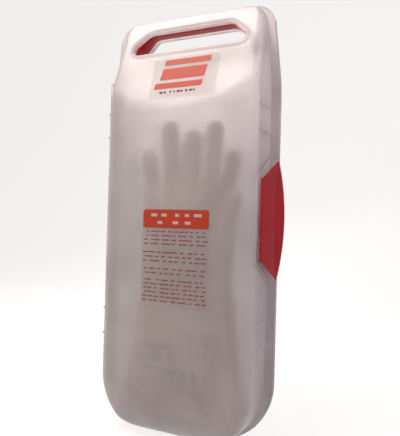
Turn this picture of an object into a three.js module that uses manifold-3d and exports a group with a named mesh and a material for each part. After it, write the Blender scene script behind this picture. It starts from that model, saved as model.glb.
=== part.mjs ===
// Carrying case for a pair of electrical insulating gloves: a translucent moulded tray and a hinged
// cover, a handle slot lined by a red ring, a red side latch, and the two gloves standing inside.
// Millimetres, +Z up, +X towards the latch, the cover faces -Y and the tray +Y.
import * as THREE from 'three';
import { mergeVertices } from 'three/addons/utils/BufferGeometryUtils.js';
import Module from 'manifold-3d';

const wasm = await Module();
wasm.setup();

// Case outline, seen from the front
const CASE_WIDTH = 210;
const CASE_HEIGHT = 480;
const TOP_WIDTH = 196;          // width where the top corners start
const SHOULDER_DROP = 90;       // the sides lean in over this much of the top
const TOP_CORNER = 25;
const BOTTOM_CORNER = 68;

// Depth of each half, measured from the parting plane
const COVER_DEPTH = 38;
const COVER_CROWN = 8;          // how far the cover's middle stands out past its edges
const COVER_FOOT_ROUND = 38;    // round between the cover's front and its bottom
const TRAY_DEPTH = 34;
const TRAY_FOOT_ROUND = 10;
const TOP_DEPTH = 8;            // half's depth at the very top
const TOP_SLOPE = 0.32;         // depth gained for each millimetre down the top slope
const EDGE_ROUND = 10;          // upright edges of each half
const DRAFT = 4;                // each side wall leans in this much over its depth

// Mouldings
const WALL = 2;
const FLANGE_WIDTH = 9;
const FLANGE_THICKNESS = 4;
const SEAM = 0.3;               // gap between the two flanges
const RIB_PROUD = 1.4;
const RIB_THICKNESS = 1.6;
const RIB_HEIGHTS = [108, 137, 337, 364];
const RIB_DEPTH = 34;

// Handle slot and its liner ring
const HANDLE_BAR = 18;          // bar left above the slot
const HANDLE_TALL = 27;
const HANDLE_LOW_HALF = 70;
const HANDLE_HIGH_HALF = 62;
const HANDLE_LOW_CORNER = 8;
const HANDLE_HIGH_CORNER = 16;
const LINER_WALL = 2.5;
const LINER_LIP = 7;            // depth of case wall in front of the ring and behind it
const LINER_SEAT_GAP = 0.3;     // to the tray, which holds the ring
const LINER_SWING_GAP = 0.7;    // to the cover, which swings off it

// Hinge at the left edge
const KNUCKLE_RADIUS = 4;
const KNUCKLE_GAP = 0.5;
const HINGE_HEIGHTS = [92, 240, 388];
const TRAY_KNUCKLE = 14;
const COVER_KNUCKLE = 19;
const PIN_RADIUS = 1.5;
const PIN_TIGHT = 0.15;         // gap round a pin in the part that holds it
const PIN_RUNNING = 0.2;        // gap round a pin in the part that turns on it
const KNUCKLE_RELIEF = 1.2;     // how far a flange keeps from the other half's knuckle

// Side latch at the right edge
const LATCH_HEIGHT = 244;
const LATCH_LENGTH = 128;       // at the flange
const LATCH_EDGE_LENGTH = 86;   // at its free edge
const LATCH_REACH = 32;         // how far the free edge reaches forwards of the seam
const LATCH_BOW = 7;            // how far the thumb edge bows out past the flange
const LATCH_WALL = 2.5;
const LATCH_GAP = 0.5;          // to the path that the cover swings along
const LATCH_BACK = 1;           // back face of the latch, behind the seam
const LATCH_PIN_Y = 5.6;
const LATCH_BARREL_RADIUS = 4;
const LATCH_BARREL = 47;
const EAR_THICKNESS = 6;
const EAR_FRONT = 1.5;

// Raised frame on the cover's side wall, round the latch
const FRAME_GAP = 1.5;
const FRAME_WIDTH = 3;

// Gloves, standing on their cuffs with the fingers up
const GLOVE_LENGTH = 338;
const CUFF_HALF = 78;
const WRIST_HALF = 57;
const PALM_HALF = 54;
const GLOVE_WALL = 2;
const GLOVE_FLATNESS = 0.2;     // half thickness over half width of the gauntlet
const GLOVE_GAP = 0.6;          // between the two gloves
const CUFF_BEAD = 1.5;          // how far the cuff's rolled edge stands out
const CUFF_SEAT_GAP = 0.8;      // to the round corners of the tray that the cuffs stand in

// Labels
const LABEL_THICKNESS = 0.4;
const LABEL_GAP = 0.12;
const LABEL_X = 4;              // the labels sit a little nearer to the latch than to the hinge
const BADGE_SIZE = [79, 51];
const BADGE_DROP = 80;          // from the top of the case to the badge's middle
const BADGE_CORNER = 3;
const NOTICE_SIZE = [79, 102];
const NOTICE_CORNER = 4;
const NOTICE_HEIGHT = 202;

const HALF_WIDTH = CASE_WIDTH / 2;
const ROOT_HALF = HALF_WIDTH - FLANGE_WIDTH;
const HINGE_X = -HALF_WIDTH - KNUCKLE_RADIUS;
const LATCH_PIN_X = HALF_WIDTH + 0.5;
const HANDLE_HIGH = CASE_HEIGHT - HANDLE_BAR;
const HANDLE_LOW = HANDLE_HIGH - HANDLE_TALL;
const BADGE_HEIGHT = CASE_HEIGHT - BADGE_DROP;
const FRONT = -1;
const BACK = 1;
const OPEN = 3;                 // how far a cutter runs past the face that it opens
const FAR = 80;
const ROUND_STEPS = 8;

// ---- solids -------------------------------------------------------------------------------------

function solid(geometry) {
  geometry.deleteAttribute('normal');
  geometry.deleteAttribute('uv');
  const welded = mergeVertices(geometry, 1e-4);
  const index = welded.index.array;
  const triangles = [];
  for (let i = 0; i < index.length; i += 3) {
    const [a, b, c] = [index[i], index[i + 1], index[i + 2]];
    if (a !== b && b !== c && c !== a) triangles.push(a, b, c);
  }
  return new wasm.Manifold(new wasm.Mesh({
    numProp: 3,
    vertProperties: welded.attributes.position.array,
    triVerts: new Uint32Array(triangles),
  }));
}

function meshOf(name, body, material) {
  const { vertProperties, triVerts } = body.getMesh();
  const geometry = new THREE.BufferGeometry();
  geometry.setAttribute('position', new THREE.BufferAttribute(vertProperties, 3));
  geometry.setIndex(new THREE.BufferAttribute(triVerts, 1));
  geometry.computeVertexNormals();
  const mesh = new THREE.Mesh(geometry, material);
  mesh.name = name;
  return mesh;
}

function extrusion(shape, length) {
  return new THREE.ExtrudeGeometry(shape, {
    depth: length, bevelEnabled: false, curveSegments: ROUND_STEPS,
  });
}

// A front view (x, z) run from y0 to y1
function alongY(shape, y0, y1) {
  return solid(extrusion(shape, y1 - y0).rotateX(Math.PI / 2).translate(0, y1, 0));
}

// A plan (x, y) run from z0 to z1
function alongZ(shape, z0, z1) {
  return solid(extrusion(shape, z1 - z0).translate(0, 0, z0));
}

// A side view (y, z) run from x0 to x1
function alongX(shape, x0, x1) {
  const turn = new THREE.Matrix4().makeBasis(
    new THREE.Vector3(0, 1, 0), new THREE.Vector3(0, 0, 1), new THREE.Vector3(1, 0, 0));
  return solid(extrusion(shape, x1 - x0).applyMatrix4(turn).translate(x0, 0, 0));
}

function block([x0, x1], [y0, y1], [z0, z1]) {
  const box = new THREE.BoxGeometry(x1 - x0, y1 - y0, z1 - z0);
  return solid(box.translate((x0 + x1) / 2, (y0 + y1) / 2, (z0 + z1) / 2));
}

function upright(radius, x, y, [z0, z1], steps = 24) {
  const rod = new THREE.CylinderGeometry(radius, radius, z1 - z0, steps);
  return solid(rod.rotateX(Math.PI / 2).translate(x, y, (z0 + z1) / 2));
}

function roundedRectangle([width, height], radius, centreX, centreZ) {
  const [w, h] = [width / 2 - radius, height / 2 - radius];
  const shape = new THREE.Shape();
  shape.absarc(centreX + w, centreZ - h, radius, -Math.PI / 2, 0);
  shape.absarc(centreX + w, centreZ + h, radius, 0, Math.PI / 2);
  shape.absarc(centreX - w, centreZ + h, radius, Math.PI / 2, Math.PI);
  shape.absarc(centreX - w, centreZ - h, radius, Math.PI, Math.PI * 1.5);
  return shape;
}

// ---- case halves --------------------------------------------------------------------------------

// Front view of the case, drawn in by inset all round and by flange at the sides, so that the
// flange fades out round the corners and leaves the foot and the top bar plain
function caseOutline(inset, flange) {
  const side = HALF_WIDTH - flange - inset;
  const lean = TOP_WIDTH / 2 - flange - inset;
  const low = BOTTOM_CORNER - flange / 2 - inset;
  const high = TOP_CORNER - flange / 2 - inset;
  const shape = new THREE.Shape();
  shape.absarc(side - low, inset + low, low, -Math.PI / 2, 0);
  shape.lineTo(side, CASE_HEIGHT - SHOULDER_DROP);
  shape.absarc(lean - high, CASE_HEIGHT - inset - high, high, 0, Math.PI / 2);
  shape.absarc(high - lean, CASE_HEIGHT - inset - high, high, Math.PI / 2, Math.PI);
  shape.lineTo(-side, CASE_HEIGHT - SHOULDER_DROP);
  shape.absarc(low - side, inset + low, low, Math.PI, Math.PI * 1.5);
  return shape;
}

// Plan of one half: drafted sides, rounded upright edges and a crowned face
function halfPlan(facing, depth, crown, inset, rim) {
  const root = ROOT_HALF - inset;
  const face = root - DRAFT;
  const round = EDGE_ROUND - inset;
  const edge = depth - inset;
  const shape = new THREE.Shape();
  shape.moveTo(-root, facing * rim);
  shape.lineTo(root, facing * rim);
  shape.lineTo(face, facing * (edge - round));
  shape.quadraticCurveTo(face, facing * edge, face - round, facing * (edge + 0.12 * crown));
  shape.quadraticCurveTo(0, facing * (edge + 1.88 * crown), round - face, facing * (edge + 0.12 * crown));
  shape.quadraticCurveTo(-face, facing * edge, -face, facing * (edge - round));
  return shape;
}

// Side view of one half: flat foot, rounded heel, upright face and the slope under the handle
function halfSide(facing, depth, crown, footRound, inset, rim) {
  const face = depth + crown - inset;
  const slopeInset = inset * Math.hypot(1, TOP_SLOPE);
  const slopeAt = (z) => TOP_DEPTH + TOP_SLOPE * (CASE_HEIGHT - z) - slopeInset;
  const slopeFoot = CASE_HEIGHT - (face + slopeInset - TOP_DEPTH) / TOP_SLOPE;
  const round = footRound - inset;
  const shape = new THREE.Shape();
  shape.moveTo(facing * rim, inset);
  shape.lineTo(facing * (face - round), inset);
  for (let step = 1; step <= ROUND_STEPS; step++) {
    const turn = (step / ROUND_STEPS) * Math.PI / 2;
    shape.lineTo(facing * (face - round * (1 - Math.sin(turn))), inset + round * (1 - Math.cos(turn)));
  }
  shape.lineTo(facing * face, slopeFoot);
  shape.lineTo(facing * slopeAt(CASE_HEIGHT - inset), CASE_HEIGHT - inset);
  shape.lineTo(facing * rim, CASE_HEIGHT - inset);
  return shape;
}

// One half as a full block, from rim (behind the seam when negative) to its face
function halfBlock(half, inset, rim) {
  const { facing, depth, crown, footRound } = half;
  const outline = caseOutline(inset, FLANGE_WIDTH);
  const [y0, y1] = facing === FRONT ? [-FAR, -rim] : [rim, FAR];
  return alongY(outline, y0, y1)
    .intersect(alongZ(halfPlan(facing, depth, crown, inset, rim), 0, CASE_HEIGHT))
    .intersect(alongX(halfSide(facing, depth, crown, footRound, inset, rim), -FAR * 2, FAR * 2));
}

// Side view of the space between the two top slopes, thinned by the given depth on each side
function betweenSlopes(thinner) {
  const [low, high] = [HANDLE_LOW - HANDLE_LOW_CORNER * 2, CASE_HEIGHT];
  const depthAt = (z) => TOP_DEPTH + TOP_SLOPE * (CASE_HEIGHT - z) - thinner;
  const shape = new THREE.Shape();
  shape.moveTo(-depthAt(low), low);
  shape.lineTo(depthAt(low), low);
  shape.lineTo(depthAt(high), high);
  shape.lineTo(-depthAt(high), high);
  return shape;
}

// Handle slot, grown by the given amount all round: small low corners, large high ones, and
// straight ends that touch both rounds
function handleSlot(grow) {
  const lowX = HANDLE_LOW_HALF - HANDLE_LOW_CORNER;
  const highX = HANDLE_HIGH_HALF - HANDLE_HIGH_CORNER;
  const lowZ = HANDLE_LOW + HANDLE_LOW_CORNER;
  const highZ = HANDLE_HIGH - HANDLE_HIGH_CORNER;
  const between = Math.hypot(highX - lowX, highZ - lowZ);
  const lean = Math.atan2(highZ - lowZ, highX - lowX)
    - Math.acos((HANDLE_LOW_CORNER - HANDLE_HIGH_CORNER) / between);
  const [low, high] = [HANDLE_LOW_CORNER + grow, HANDLE_HIGH_CORNER + grow];
  const shape = new THREE.Shape();
  shape.absarc(lowX, lowZ, low, -Math.PI / 2, lean);
  shape.absarc(highX, highZ, high, lean, Math.PI / 2);
  shape.absarc(-highX, highZ, high, Math.PI / 2, Math.PI - lean);
  shape.absarc(-lowX, lowZ, low, Math.PI - lean, Math.PI * 1.5);
  return shape;
}

const COVER = {
  facing: FRONT, depth: COVER_DEPTH, crown: COVER_CROWN, footRound: COVER_FOOT_ROUND,
  linerGap: LINER_SWING_GAP,
};
const TRAY = {
  facing: BACK, depth: TRAY_DEPTH, crown: 0, footRound: TRAY_FOOT_ROUND,
  linerGap: LINER_SEAT_GAP,
};

function yRange(facing, near, far) {
  return facing === FRONT ? [-far, -near] : [near, far];
}

// Walls, flange, and the collar round the handle slot, which leaves a lip in front of the liner
function halfShell(half) {
  const { facing, linerGap } = half;
  const rim = SEAM / 2;
  const full = halfBlock(half, 0, rim);
  const collarGrow = LINER_WALL + linerGap + WALL;
  const collar = alongY(handleSlot(collarGrow), ...yRange(facing, rim, FAR)).intersect(full);
  const pocket = alongY(handleSlot(LINER_WALL + linerGap), ...yRange(facing, -OPEN, FAR))
    .intersect(alongX(betweenSlopes(LINER_LIP - linerGap), -HALF_WIDTH, HALF_WIDTH));
  const slot = alongY(handleSlot(0), ...yRange(facing, -OPEN, FAR));
  const flange = alongY(caseOutline(0, 0), ...yRange(facing, rim, rim + FLANGE_THICKNESS));
  return full.add(flange).subtract(halfBlock(half, WALL, -OPEN)).add(collar).subtract(pocket).subtract(slot);
}

// ---- hinge --------------------------------------------------------------------------------------

function span(centre, length) {
  return [centre - length / 2, centre + length / 2];
}

// The tray's two knuckles stand above and below the cover's one
function knuckleSpans(height) {
  const offset = (COVER_KNUCKLE + TRAY_KNUCKLE) / 2 + KNUCKLE_GAP;
  return {
    cover: [span(height, COVER_KNUCKLE)],
    tray: [span(height - offset, TRAY_KNUCKLE), span(height + offset, TRAY_KNUCKLE)],
  };
}

function knuckle(facing, zs) {
  const web = block([HINGE_X, -HALF_WIDTH + FLANGE_WIDTH / 2],
    yRange(facing, SEAM / 2, KNUCKLE_RADIUS), zs);
  return upright(KNUCKLE_RADIUS, HINGE_X, 0, zs).add(web);
}

function withHinge(body, facing, own, other, pinGap) {
  let result = body;
  for (const height of HINGE_HEIGHTS) {
    const spans = knuckleSpans(height);
    for (const [z0, z1] of spans[other]) {
      const relief = [z0 - KNUCKLE_GAP, z1 + KNUCKLE_GAP];
      const edge = [-HALF_WIDTH - OPEN, -HALF_WIDTH + KNUCKLE_RELIEF];
      result = result.subtract(block(edge, yRange(facing, -OPEN, FLANGE_THICKNESS + OPEN), relief));
    }
    for (const zs of spans[own]) result = result.add(knuckle(facing, zs));
    const reach = span(height, COVER_KNUCKLE + 2 * TRAY_KNUCKLE + 4 * KNUCKLE_GAP + OPEN);
    result = result.subtract(upright(PIN_RADIUS + pinGap, HINGE_X, 0, reach));
  }
  return result;
}

// ---- latch --------------------------------------------------------------------------------------

const LATCH_SWING = ROOT_HALF - HINGE_X + LATCH_GAP;   // radius that the closed latch stays outside
const LATCH_EDGE_X = HINGE_X + Math.sqrt(LATCH_SWING ** 2 - LATCH_REACH ** 2) + LATCH_WALL;

function latchNotch() {
  return block([ROOT_HALF, HALF_WIDTH + FAR], [-FAR, FLANGE_THICKNESS + OPEN],
    span(LATCH_HEIGHT, LATCH_LENGTH + 2));
}

// Plan of the latch: a plate that leans along the side wall, and the thumb edge past the flange
function latchPlan(inset, thumb) {
  const edgeX = HALF_WIDTH - inset;
  const shape = new THREE.Shape();
  shape.moveTo(ROOT_HALF - FLANGE_WIDTH, LATCH_BACK - inset);
  shape.lineTo(ROOT_HALF - FLANGE_WIDTH, inset - LATCH_REACH);
  shape.lineTo(LATCH_EDGE_X - inset, inset - LATCH_REACH);
  shape.lineTo(edgeX, -FLANGE_THICKNESS);
  if (thumb) shape.lineTo(edgeX + LATCH_BOW, -FLANGE_THICKNESS / 4);
  if (thumb) shape.lineTo(edgeX + LATCH_BOW, LATCH_BACK - inset);
  else shape.lineTo(edgeX, LATCH_BACK - inset);
  return shape;
}

// Front view of the latch: longer at the flange than at its free edge, bowed outwards
function latchOutline(inset) {
  const edge = LATCH_EDGE_LENGTH / 2 - inset;
  const tip = LATCH_LENGTH / 2 - inset;
  const inner = ROOT_HALF - FLANGE_WIDTH;
  const shape = new THREE.Shape();
  shape.moveTo(inner, LATCH_HEIGHT - edge);
  shape.lineTo(LATCH_EDGE_X - inset / 2, LATCH_HEIGHT - edge);
  shape.lineTo(HALF_WIDTH - inset, LATCH_HEIGHT - tip);
  shape.quadraticCurveTo(
    HALF_WIDTH + 2 * LATCH_BOW - inset, LATCH_HEIGHT, HALF_WIDTH - inset, LATCH_HEIGHT + tip);
  shape.lineTo(LATCH_EDGE_X - inset / 2, LATCH_HEIGHT + edge);
  shape.lineTo(inner, LATCH_HEIGHT + edge);
  return shape;
}

function latchForm(inset, thumb) {
  return alongZ(latchPlan(inset, thumb), ...span(LATCH_HEIGHT, LATCH_LENGTH))
    .intersect(alongY(latchOutline(inset), -FAR, FAR));
}

function sideLatch() {
  const barrelSpan = span(LATCH_HEIGHT, LATCH_BARREL);
  const swing = upright(LATCH_SWING, HINGE_X, 0, span(LATCH_HEIGHT, LATCH_LENGTH + OPEN), 240);
  const web = block(span(LATCH_PIN_X, 2 * LATCH_BARREL_RADIUS), [0, LATCH_PIN_Y], barrelSpan);
  return latchForm(0, true)
    .subtract(latchForm(LATCH_WALL, false))
    .subtract(swing)
    .add(upright(LATCH_BARREL_RADIUS, LATCH_PIN_X, LATCH_PIN_Y, barrelSpan))
    .add(web)
    .subtract(upright(PIN_RADIUS + PIN_RUNNING, LATCH_PIN_X, LATCH_PIN_Y, span(LATCH_HEIGHT, LATCH_LENGTH)));
}

const EAR_OFFSET = (LATCH_BARREL + EAR_THICKNESS) / 2 + KNUCKLE_GAP;
const EARS = [-EAR_OFFSET, EAR_OFFSET].map((offset) => span(LATCH_HEIGHT + offset, EAR_THICKNESS));

function withEars(body) {
  let result = body;
  for (const zs of EARS) {
    const arm = block([ROOT_HALF - WALL, LATCH_PIN_X], [EAR_FRONT, LATCH_PIN_Y + LATCH_BARREL_RADIUS], zs);
    result = result.add(arm).add(upright(LATCH_BARREL_RADIUS, LATCH_PIN_X, LATCH_PIN_Y, zs));
  }
  return result;
}

// ---- cover and tray -----------------------------------------------------------------------------

// Side view of the latch's place on the cover, grown by the given amount
function latchPlace(grow) {
  const lean = (LATCH_LENGTH - LATCH_EDGE_LENGTH) / 2 / (LATCH_REACH - FLANGE_THICKNESS);
  const halfAt = (reach) => (
    LATCH_LENGTH / 2 - lean * (reach - FLANGE_THICKNESS) + grow * Math.hypot(1, lean));
  const reach = LATCH_REACH + grow;
  const shape = new THREE.Shape();
  shape.moveTo(0, LATCH_HEIGHT - halfAt(0));
  shape.lineTo(-reach, LATCH_HEIGHT - halfAt(reach));
  shape.lineTo(-reach, LATCH_HEIGHT + halfAt(reach));
  shape.lineTo(0, LATCH_HEIGHT + halfAt(0));
  return shape;
}

function latchFrame(grown) {
  const [x0, x1] = [ROOT_HALF - DRAFT - EDGE_ROUND, HALF_WIDTH];
  const flange = block([x0, x1 + OPEN], [-FLANGE_THICKNESS, OPEN], [0, CASE_HEIGHT]);
  return alongX(latchPlace(FRAME_GAP + FRAME_WIDTH), x0, x1)
    .subtract(alongX(latchPlace(FRAME_GAP), x0 - OPEN, x1 + OPEN))
    .intersect(grown)
    .subtract(flange);
}

function coverShell() {
  const grown = halfBlock(COVER, -RIB_PROUD, SEAM / 2);
  let body = halfShell(COVER).add(latchFrame(grown).subtract(halfBlock(COVER, WALL / 2, -OPEN)));
  for (const height of RIB_HEIGHTS) {
    const slab = block([ROOT_HALF - DRAFT - WALL / 2, HALF_WIDTH], [-RIB_DEPTH, -FLANGE_THICKNESS],
      span(height, RIB_THICKNESS));
    body = body.add(slab.intersect(grown));
  }
  return withHinge(body, FRONT, 'cover', 'tray', PIN_RUNNING).subtract(latchNotch());
}

function trayShell() {
  const notched = withHinge(halfShell(TRAY), BACK, 'tray', 'cover', PIN_TIGHT).subtract(latchNotch());
  const bore = upright(PIN_RADIUS + PIN_TIGHT, LATCH_PIN_X, LATCH_PIN_Y, span(LATCH_HEIGHT, LATCH_LENGTH));
  return withEars(notched).subtract(bore);
}

function handleLiner() {
  const ring = handleSlot(LINER_WALL);
  ring.holes.push(new THREE.Path(handleSlot(0).getPoints(ROUND_STEPS)));
  return alongY(ring, -FAR, FAR).intersect(alongX(betweenSlopes(LINER_LIP), -HALF_WIDTH, HALF_WIDTH));
}

// ---- gloves -------------------------------------------------------------------------------------

// Half width of the gauntlet and palm at each height above the cuff's end
const GAUNTLET = [
  [0, CUFF_HALF - CUFF_BEAD], [3, CUFF_HALF], [8, CUFF_HALF - CUFF_BEAD],
  [40, (CUFF_HALF + WRIST_HALF) / 2 + 4], [80, WRIST_HALF + 4], [120, WRIST_HALF],
  [160, PALM_HALF], [210, PALM_HALF + 2], [240, PALM_HALF - 4],
  [256, PALM_HALF - 18],
];
const KNUCKLE_LINE = 264;
const FINGER_ROOT = 225;

// Across and up from the cuff: root, tip and radius of each finger, thumb last
const FINGERS = [
  { root: [-40, FINGER_ROOT], tip: [-50, GLOVE_LENGTH - 32], radius: 10 },
  { root: [-19, FINGER_ROOT], tip: [-22, GLOVE_LENGTH], radius: 11 },
  { root: [3, FINGER_ROOT], tip: [9, GLOVE_LENGTH - 12], radius: 11.5 },
  { root: [26, FINGER_ROOT], tip: [38, GLOVE_LENGTH - 4], radius: 11 },
  { root: [38, 165], tip: [63, GLOVE_LENGTH - 80], radius: 12 },
];

// The glove as a full form, thinned by inset all over; side -1 mirrors it to the other hand
function gloveForm(side, inset) {
  const foot = inset > 0 ? -OPEN : 0;
  const profile = [new THREE.Vector2(0, foot), new THREE.Vector2(GAUNTLET[0][1] - inset, foot)];
  for (const [height, half] of GAUNTLET.slice(1)) profile.push(new THREE.Vector2(half - inset, height));
  profile.push(new THREE.Vector2(0, KNUCKLE_LINE - inset));
  const flatness = (GLOVE_FLATNESS * WRIST_HALF - inset * 0.8) / (WRIST_HALF - inset);
  let form = solid(new THREE.LatheGeometry(profile, 28).rotateX(Math.PI / 2).scale(1, flatness, 1));
  for (const { root, tip, radius } of FINGERS) {
    const [dx, dz] = [side * (tip[0] - root[0]), tip[1] - root[1] - radius];
    const length = Math.hypot(dx, dz);
    const finger = new THREE.CapsuleGeometry(radius - inset, length, 3, 10, 1);
    finger.rotateX(Math.PI / 2).rotateY(Math.atan2(dx, dz));
    finger.translate(side * root[0] + dx / 2, 0, root[1] + dz / 2);
    form = form.add(solid(finger));
  }
  return form;
}

function glove(side) {
  return gloveForm(side, 0).subtract(gloveForm(side, GLOVE_WALL));
}

// ---- labels -------------------------------------------------------------------------------------

function labelOn(shape) {
  const skin = halfBlock(COVER, -LABEL_GAP - LABEL_THICKNESS, SEAM).subtract(halfBlock(COVER, -LABEL_GAP, 0));
  return alongY(shape, -FAR, -TOP_DEPTH).intersect(skin);
}

// ---- assembly -----------------------------------------------------------------------------------

function finish(color, roughness, metalness = 0, opacity = 1) {
  return new THREE.MeshStandardMaterial({
    color, roughness, metalness, opacity, transparent: opacity < 1,
  });
}

const milky = finish(0xe6dfda, 0.35, 0, 0.6);
const red = finish(0xb8202a, 0.35);
const steel = finish(0xb9bcc0, 0.3, 1);
const latex = finish(0xd9c4a8, 0.7);
const film = finish(0xe2552f, 0.5);
const print = finish(0xb0382c, 0.5);

const object = new THREE.Group();
object.add(meshOf('tray_shell', trayShell(), milky));
object.add(meshOf('cover_shell', coverShell(), milky));
object.add(meshOf('handle_liner', handleLiner(), red));
object.add(meshOf('side_latch', sideLatch(), red));

const latchPinSpan = [EARS[0][0], EARS[1][1]];
object.add(meshOf('latch_pin', upright(PIN_RADIUS, LATCH_PIN_X, LATCH_PIN_Y, latchPinSpan), steel));
['lower', 'middle', 'upper'].forEach((place, i) => {
  const length = COVER_KNUCKLE + 2 * TRAY_KNUCKLE + 2 * KNUCKLE_GAP;
  const pin = upright(PIN_RADIUS, HINGE_X, 0, span(HINGE_HEIGHTS[i], length));
  object.add(meshOf(`hinge_pin_${place}`, pin, steel));
});

const GLOVE_HALF_THICKNESS = CUFF_HALF * GLOVE_FLATNESS;
const GLOVE_REAR_Y = TRAY_DEPTH - WALL - GLOVE_HALF_THICKNESS - 2;
const GLOVE_FRONT_Y = GLOVE_REAR_Y - 2 * GLOVE_HALF_THICKNESS - GLOVE_GAP;

// Height at which a cuff rests in a round with the given outer radius, when it reaches in by across
function seatHeight(outer, across) {
  return outer - Math.sqrt((outer - WALL - CUFF_SEAT_GAP) ** 2 - Math.max(across, 0) ** 2);
}

// The cuffs' ends stand in the round lower corners of the case, clear of the cover's heel
function cuffHeight() {
  const corner = BOTTOM_CORNER - FLANGE_WIDTH / 2;
  const heelStart = COVER_DEPTH + COVER_CROWN - COVER_FOOT_ROUND;
  return Math.max(
    seatHeight(corner, CUFF_HALF - CUFF_BEAD - (ROOT_HALF - corner)),
    seatHeight(COVER_FOOT_ROUND, GLOVE_HALF_THICKNESS - GLOVE_FRONT_Y - heelStart));
}

for (const [name, side, y] of [['glove_front', 1, GLOVE_FRONT_Y], ['glove_rear', -1, GLOVE_REAR_Y]]) {
  const mesh = meshOf(name, glove(side), latex);
  mesh.position.set(0, y, cuffHeight());
  object.add(mesh);
}

const badge = labelOn(roundedRectangle(BADGE_SIZE, BADGE_CORNER, LABEL_X, BADGE_HEIGHT));
const notice = labelOn(roundedRectangle(NOTICE_SIZE, NOTICE_CORNER, LABEL_X, NOTICE_HEIGHT));
object.add(meshOf('front_badge', badge, film));
object.add(meshOf('instruction_label', notice, print));

// The origin is under the middle of the whole object's box, on the surface that it stands on
const box = new THREE.Box3().setFromObject(object);
object.position.set(-(box.min.x + box.max.x) / 2, -(box.min.y + box.max.y) / 2, -box.min.z);

export default object;
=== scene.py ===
import math

import bmesh
import bpy
import numpy as np
from mathutils import Matrix, Vector
from mathutils.bvhtree import BVHTree


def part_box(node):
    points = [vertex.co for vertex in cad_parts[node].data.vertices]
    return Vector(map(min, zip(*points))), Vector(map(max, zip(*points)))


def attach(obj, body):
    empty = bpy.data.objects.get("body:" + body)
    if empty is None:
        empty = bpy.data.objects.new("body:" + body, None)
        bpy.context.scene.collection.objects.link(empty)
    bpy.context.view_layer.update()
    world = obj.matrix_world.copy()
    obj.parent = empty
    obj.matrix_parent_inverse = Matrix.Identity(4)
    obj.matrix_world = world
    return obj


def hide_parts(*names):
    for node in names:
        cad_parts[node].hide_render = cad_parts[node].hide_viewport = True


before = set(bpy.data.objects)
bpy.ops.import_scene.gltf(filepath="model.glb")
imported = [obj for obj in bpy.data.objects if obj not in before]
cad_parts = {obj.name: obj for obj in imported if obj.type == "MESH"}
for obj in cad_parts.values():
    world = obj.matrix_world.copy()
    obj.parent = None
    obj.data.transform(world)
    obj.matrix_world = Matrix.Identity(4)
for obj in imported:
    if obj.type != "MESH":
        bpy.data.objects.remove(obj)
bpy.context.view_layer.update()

# ---- Camera ------------------------------------------------------------------------------------
# Stands about half a metre off, a little to the latch side and level with the middle of the case.
# It is held by hand, so it is turned a degree or two.
MM = 0.001
hinge_low, hinge_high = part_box("hinge_pin_middle")
# The seam's plane holds the hinge pins' axis, 109 mm from the middle of the case
CASE_X = (hinge_low.x + hinge_high.x) / 2 / MM + 109
SEAM_Y = (hinge_low.y + hinge_high.y) / 2 / MM


def place(x, y, z):
    """A point given in millimetres from the case's middle, its seam and its foot."""
    return Vector((x + CASE_X, y + SEAM_Y, z)) * MM


def add_camera():
    turn, tilt, roll = math.radians(23.17), math.radians(-0.75), math.radians(1.6)
    distance, sensor, lens = 508, 36, 36.31
    back = Vector((math.sin(turn) * math.cos(tilt), -math.cos(turn) * math.cos(tilt), math.sin(tilt)))
    side = back.cross(Vector((0, 0, -1))).normalized()
    up = back.cross(side)
    held_side = side * math.cos(roll) + up * math.sin(roll)
    held_up = up * math.cos(roll) - side * math.sin(roll)
    camera = bpy.data.objects.new("camera", bpy.data.cameras.new("camera"))
    camera.data.sensor_width = sensor
    camera.data.lens = lens
    camera.data.clip_start = 0.01
    turned = Matrix((held_side, held_up, back)).transposed().to_4x4()
    camera.matrix_world = Matrix.Translation(place(14, 0, 244.9) + back * distance * MM) @ turned
    bpy.context.scene.collection.objects.link(camera)
    bpy.context.scene.camera = camera


add_camera()


# ---- Studio ------------------------------------------------------------------------------------
# A sweep of white background paper, one softbox nearly overhead, weaker ones behind the case and
# on the latch side, a faint one in front, and an even pale room.
def linear(hex_colour):
    """An sRGB hex colour as the linear values that shaders take."""
    parts = [int(hex_colour[i:i + 2], 16) / 255 for i in (1, 3, 5)]
    return (*(p / 12.92 if p <= 0.04045 else ((p + 0.055) / 1.055) ** 2.4 for p in parts), 1.0)


def add_node(tree, kind, sockets=None, **settings):
    """Adds a node, sets its properties, and sets its input sockets to values or links them."""
    node = tree.nodes.new(kind)
    for name, value in settings.items():
        setattr(node, name, value)
    for name, value in (sockets or {}).items():
        for source in value if isinstance(value, list) else [value]:
            if isinstance(source, bpy.types.NodeSocket):
                tree.links.new(source, node.inputs[name])
            else:
                node.inputs[name].default_value = source
    return node


def new_material(name):
    material = bpy.data.materials.new(name)
    material.use_nodes = True
    material.node_tree.nodes.clear()
    return material, material.node_tree


def two_tone(tree, pattern, dark, light, low=0.0, high=1.0):
    """A colour that runs from dark to light as a pattern's value runs from low to high."""
    tint = add_node(tree, "ShaderNodeValToRGB", {"Fac": pattern.outputs["Fac"]})
    for stop, position, colour in zip(tint.color_ramp.elements, (low, high), (dark, light)):
        stop.position = position
        stop.color = linear(colour)
    return tint.outputs["Color"]


def new_piece(name, vertices, faces, material):
    mesh = bpy.data.meshes.new(name)
    mesh.from_pydata([tuple(v) for v in vertices], [], faces)
    mesh.materials.append(material)
    piece = bpy.data.objects.new(name, mesh)
    bpy.context.scene.collection.objects.link(piece)
    return piece


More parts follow.
